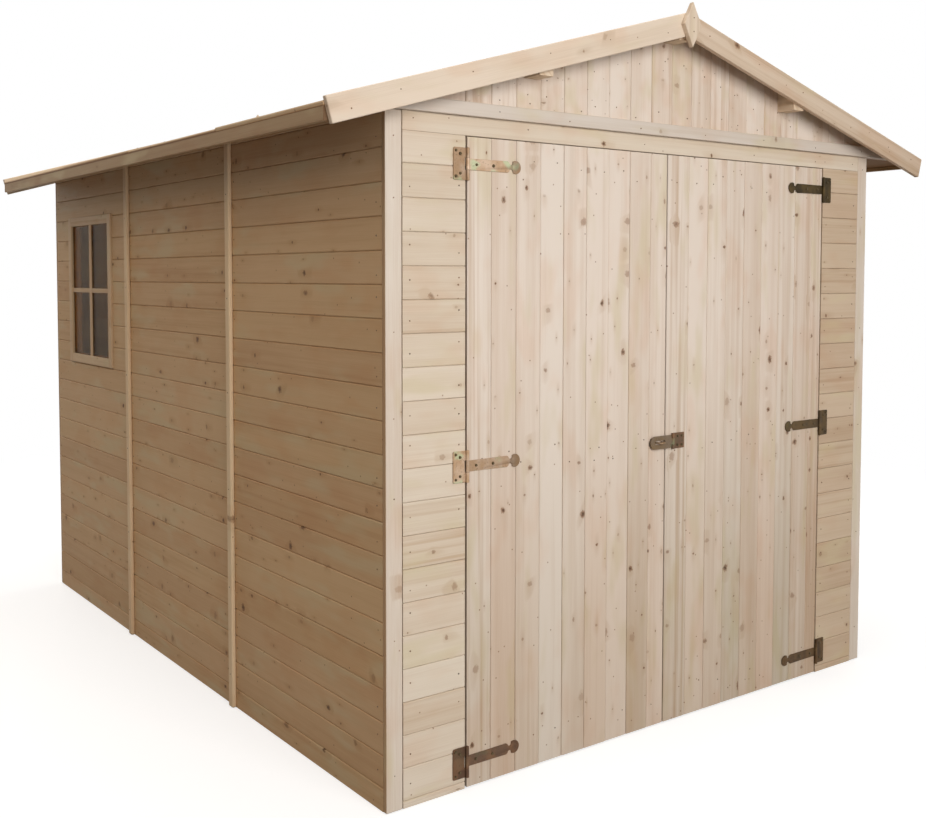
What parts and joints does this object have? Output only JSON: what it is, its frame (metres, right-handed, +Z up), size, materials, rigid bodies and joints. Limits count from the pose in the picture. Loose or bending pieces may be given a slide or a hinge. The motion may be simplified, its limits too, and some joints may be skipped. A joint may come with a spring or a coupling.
{
  "type": "wooden garden shed",
  "caption": "Bare softwood garden shed with a low pitched roof, board walls, hinged double doors with strap hinges and a hasp, and a side window.",
  "frame": {"origin": "on the ground under the middle of the whole shed's plan", "axes": "+Z up, front with the doors facing -Y, +X to the right seen from the front, ridge along Y"},
  "size_m": [2.46, 2.846, 2.1849],
  "materials": {
    "wall_boards": "bare sawn and planed softwood",
    "door_boards": "bare sawn and planed softwood",
    "trim_boards": "bare sawn and planed softwood",
    "framing_timber": "bare sawn and planed softwood",
    "roof_boards": "bare sawn and planed softwood",
    "ironmongery": "yellow passivated zinc plate, dulled",
    "window_glass": "clear"
  },
  "bodies": {
    "shed": {"left_wall_front_panel": "wall_boards", "left_wall_middle_panel": "wall_boards", "left_wall_rear_panel": "wall_boards", "right_wall_front_panel": "wall_boards", "right_wall_middle_panel": "wall_boards", "right_wall_rear_panel": "wall_boards", "back_wall_left_panel": "wall_boards", "back_wall_right_panel": "wall_boards", "front_wall_left_section": "wall_boards", "front_wall_right_section": "wall_boards", "door_header": "wall_boards", "front_gable": "door_boards", "back_gable": "door_boards", "front_frieze": "trim_boards", "back_frieze": "trim_boards", "front_corner_trims": "trim_boards", "back_corner_trims": "trim_boards", "side_cover_strips": "trim_boards", "back_cover_strip": "trim_boards", "wall_studs": "framing_timber", "bottom_rails": "framing_timber", "top_rails": "framing_timber", "window_frame": "trim_boards", "window_glass": "window_glass", "ridge_beam": "framing_timber", "purlins": "framing_timber", "left_roof_panels": "roof_boards", "right_roof_panels": "roof_boards", "eave_fascias": "roof_boards", "front_barge_boards": "trim_boards", "back_barge_boards": "trim_boards", "front_finial": "trim_boards", "back_finial": "trim_boards", "left_hinge_plates": "ironmongery", "right_hinge_plates": "ironmongery"},
    "left_door": {"left_door_boards": "door_boards", "left_door_ledges": "framing_timber", "left_hinge_straps": "ironmongery", "hasp_staple": "ironmongery"},
    "right_door": {"right_door_boards": "door_boards", "right_door_ledges": "framing_timber", "right_hinge_straps": "ironmongery", "hasp_plate": "ironmongery"},
    "hasp": {"hasp_strap": "ironmongery"}
  },
  "joints": [
    {"name": "left_door_hinge", "type": "hinge", "parent": "shed", "child": "left_door", "pos_m": [-0.7605, -1.3325, 0.876], "axis": [0, 0, -1], "range_deg": [0, 165]},
    {"name": "right_door_hinge", "type": "hinge", "parent": "shed", "child": "right_door", "pos_m": [0.7605, -1.3325, 0.876], "axis": [0, 0, 1], "range_deg": [0, 165]},
    {"name": "hasp_hinge", "type": "hinge", "parent": "right_door", "child": "hasp", "pos_m": [0.029, -1.3325, 0.876], "axis": [0, 0, 1], "range_deg": [0, 165]}
  ]
}
